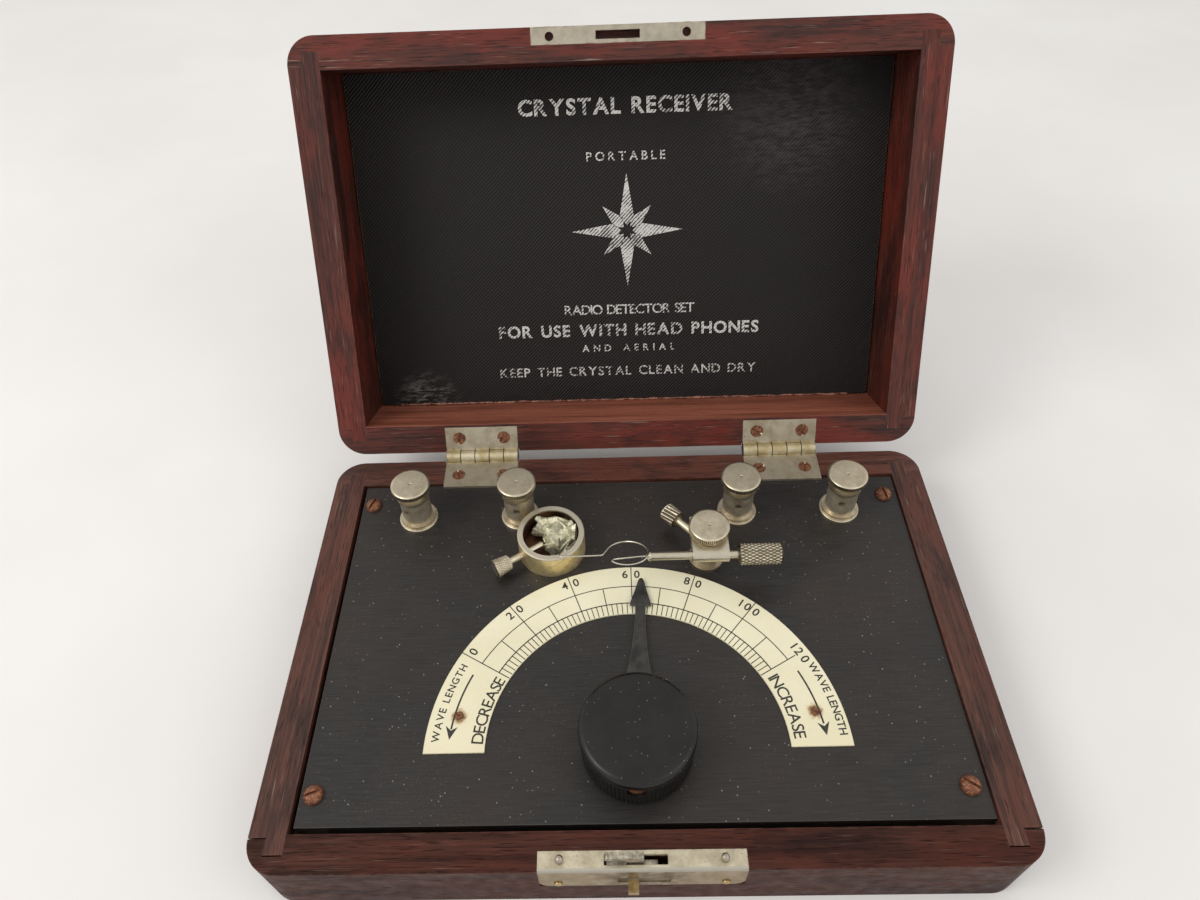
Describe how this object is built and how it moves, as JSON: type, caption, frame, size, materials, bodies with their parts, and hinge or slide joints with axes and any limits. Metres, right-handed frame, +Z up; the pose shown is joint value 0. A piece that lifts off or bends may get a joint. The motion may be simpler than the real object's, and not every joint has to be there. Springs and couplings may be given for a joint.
{
  "type": "crystal radio set",
  "caption": "Portable crystal radio set: hinged wooden case with lined lid, dark panel with binding posts, crystal and cat-whisker detector, tuning knob, pointer and half-round dial.",
  "frame": {"origin": "centre of the case's underside", "axes": "+X to the right as the operator sits, +Y back to the hinges, +Z up; stored with the lid standing open"},
  "size_m": [0.2032, 0.2309, 0.1471],
  "materials": {
    "base_wood": "old varnished mahogany, purple-brown, semi-gloss",
    "lid_wood": "old varnished mahogany, red-brown, semi-gloss",
    "bottom_wood": "plain",
    "hard_rubber": "satin, near-black moulded panel",
    "knob_plastic": "near-black moulded",
    "dial_card": "cream celluloid",
    "nickel": "nickel-plated, satin",
    "bright_nickel": "nickel-plated, bright",
    "plain_brass": "tarnished",
    "steel": "bright",
    "hinge_metal": "brass-washed",
    "lock_metal": "worn plating",
    "dark_metal": "oxidised",
    "galena": "broken mineral with bright cleavage faces",
    "card": "pressed card",
    "winding": "cotton-covered copper wire",
    "lining_card": "thin board",
    "cloth": "brown satin twill",
    "condenser": "moulded"
  },
  "bodies": {
    "base": {"base_back_board": "base_wood", "base_bottom_board": "bottom_wood", "base_front_board": "base_wood", "base_left_board": "base_wood", "base_right_board": "base_wood", "binding_post_bodies": "nickel", "bus_wires": "plain_brass", "control_panel": "hard_rubber", "crystal": "galena", "crystal_cup": "nickel", "detector_post": "nickel", "dial_pins": "plain_brass", "dial_scale": "dial_card", "fixed_coil_former": "card", "fixed_coil_winding": "winding", "hinge_base_screws": "steel", "hinge_left_base_leaf": "hinge_metal", "hinge_pins": "steel", "hinge_right_base_leaf": "hinge_metal", "latch_spring": "steel", "lock_guide_pins": "steel", "lock_nails": "plain_brass", "lock_plate": "lock_metal", "panel_cleats": "bottom_wood", "panel_screws": "bright_nickel", "phone_condenser": "condenser", "shaft_bushing": "plain_brass", "solder_tags": "plain_brass", "stud_nuts": "plain_brass"},
    "lid": {"hinge_left_lid_leaf": "hinge_metal", "hinge_lid_screws": "steel", "hinge_right_lid_leaf": "hinge_metal", "lid_back_board": "lid_wood", "lid_front_board": "lid_wood", "lid_left_board": "lid_wood", "lid_right_board": "lid_wood", "lid_top_board": "lid_wood", "lining_board": "lining_card", "lining_cloth": "cloth", "strike_nails": "plain_brass", "strike_plate": "lock_metal"},
    "tuner": {"tuning_knob": "knob_plastic", "tuning_pointer": "dark_metal", "knob_set_screw": "bright_nickel", "tuner_shaft": "bright_nickel", "moving_coil_former": "card", "moving_coil_winding": "winding"},
    "latch": {"latch_hook": "plain_brass"},
    "head_1": {"post_head_1": "nickel"},
    "head_2": {"post_head_2": "nickel"},
    "head_3": {"post_head_3": "nickel"},
    "head_4": {"post_head_4": "nickel"},
    "cup_screw": {"cup_clamp_screw": "bright_nickel"},
    "lock_screw": {"detector_lock_screw": "bright_nickel"},
    "cap_nut": {"clip_cap_nut": "nickel"},
    "clip": {"arm_clip": "nickel"},
    "arm": {"arm_rod": "bright_nickel"},
    "arm_tip": {"arm_handle": "bright_nickel", "whisker_ferrule": "nickel", "cat_whisker": "steel"}
  },
  "joints": [
    {"name": "lid_hinge", "type": "hinge", "parent": "base", "child": "lid", "pos_m": [0, 0.0703, 0.0232], "axis": [1, 0, 0], "range_deg": [-25, 116.7]},
    {"name": "tuning", "type": "hinge", "parent": "base", "child": "tuner", "pos_m": [0, -0.037, 0.022], "axis": [0, 0, 1], "range_deg": [-56.1, 63.9]},
    {"name": "latch_slide", "type": "slide", "parent": "base", "child": "latch", "axis": [1, 0, 0], "range_m": [0, 0.003], "stiffness_N_per_m": 150, "springref_m": -0.003, "deforming": ["latch_spring"]},
    {"name": "clip_swivel", "type": "hinge", "parent": "base", "child": "clip", "pos_m": [0.0246, 0.0252, 0.034], "axis": [0, 0, 1], "range_deg": [-1.5, 30]},
    {"name": "arm_slide", "type": "slide", "parent": "clip", "child": "arm", "axis": [1, 0, 0], "range_m": [-0.002, 0.003]},
    {"name": "arm_twist", "type": "hinge", "parent": "arm", "child": "arm_tip", "pos_m": [0.034, 0.0177, 0.03465], "axis": [1, 0, 0], "range_deg": [0, 70]},
    {"name": "cap_nut_turn", "type": "hinge", "parent": "base", "child": "cap_nut", "pos_m": [0.0246, 0.0252, 0.037], "axis": [0, 0, 1], "continuous": true},
    {"name": "lock_screw_turn", "type": "hinge", "parent": "base", "child": "lock_screw", "pos_m": [0.0246, 0.0252, 0.0296], "axis": [-0.6626, 0.749, 0], "continuous": true},
    {"name": "cup_screw_turn", "type": "hinge", "parent": "base", "child": "cup_screw", "pos_m": [-0.025, 0.0302, 0.027], "axis": [-0.848, -0.5299, 0], "continuous": true},
    {"name": "head_1_turn", "type": "hinge", "parent": "base", "child": "head_1", "pos_m": [-0.0705, 0.044, 0.034], "axis": [0, 0, 1], "continuous": true},
    {"name": "head_2_turn", "type": "hinge", "parent": "base", "child": "head_2", "pos_m": [-0.036, 0.044, 0.034], "axis": [0, 0, 1], "continuous": true},
    {"name": "head_3_turn", "type": "hinge", "parent": "base", "child": "head_3", "pos_m": [0.0366, 0.044, 0.034], "axis": [0, 0, 1], "continuous": true},
    {"name": "head_4_turn", "type": "hinge", "parent": "base", "child": "head_4", "pos_m": [0.0707, 0.044, 0.034], "axis": [0, 0, 1], "continuous": true}
  ]
}
